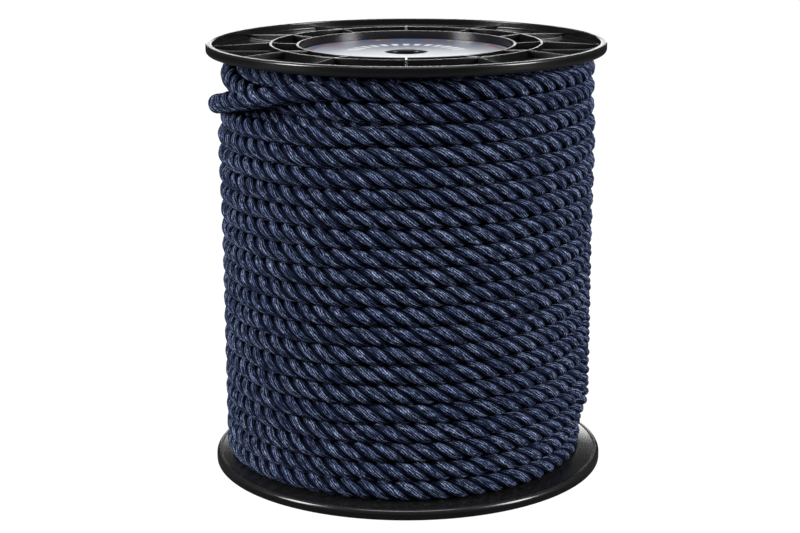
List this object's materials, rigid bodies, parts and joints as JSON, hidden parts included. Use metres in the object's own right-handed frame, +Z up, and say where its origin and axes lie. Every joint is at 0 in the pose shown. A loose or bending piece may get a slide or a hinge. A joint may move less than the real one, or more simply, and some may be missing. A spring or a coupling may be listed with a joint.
{
  "type": "reel of laid dock line",
  "caption": "Upright two-flange spool with a ribbed, labelled upper flange, wound full of navy three-strand laid mooring rope with its end tucked in.",
  "frame": {"origin": "centre of the lower flange's outer face, on the reel's axis, where it stands", "axes": "+Z up along the reel's axis, from the lower flange to the labelled upper flange; the rope's tucked end is on the -X side"},
  "size_m": [0.25, 0.25, 0.271],
  "materials": {
    "flange_plastic": "black injection-moulded polystyrene, glossy with fine handling scratches",
    "barrel_plastic": "black moulded tube, satin",
    "label_print": "silver-grey printed film with a ring of coloured marks, no lettering",
    "rope_fibre": "navy three-strand laid polyester, soft sheen on the yarns",
    "end_tape": "black adhesive tape wound round the cut end"
  },
  "bodies": {
    "root": {"upper_flange": "flange_plastic", "lower_flange": "flange_plastic", "core_barrel": "barrel_plastic", "label_disc": "label_print", "rope_layer_1": "rope_fibre", "rope_layer_2": "rope_fibre", "rope_layer_3": "rope_fibre", "rope_layer_4": "rope_fibre", "rope_last_turns": "rope_fibre", "rope_end_tape": "end_tape"}
  },
  "joints": []
}
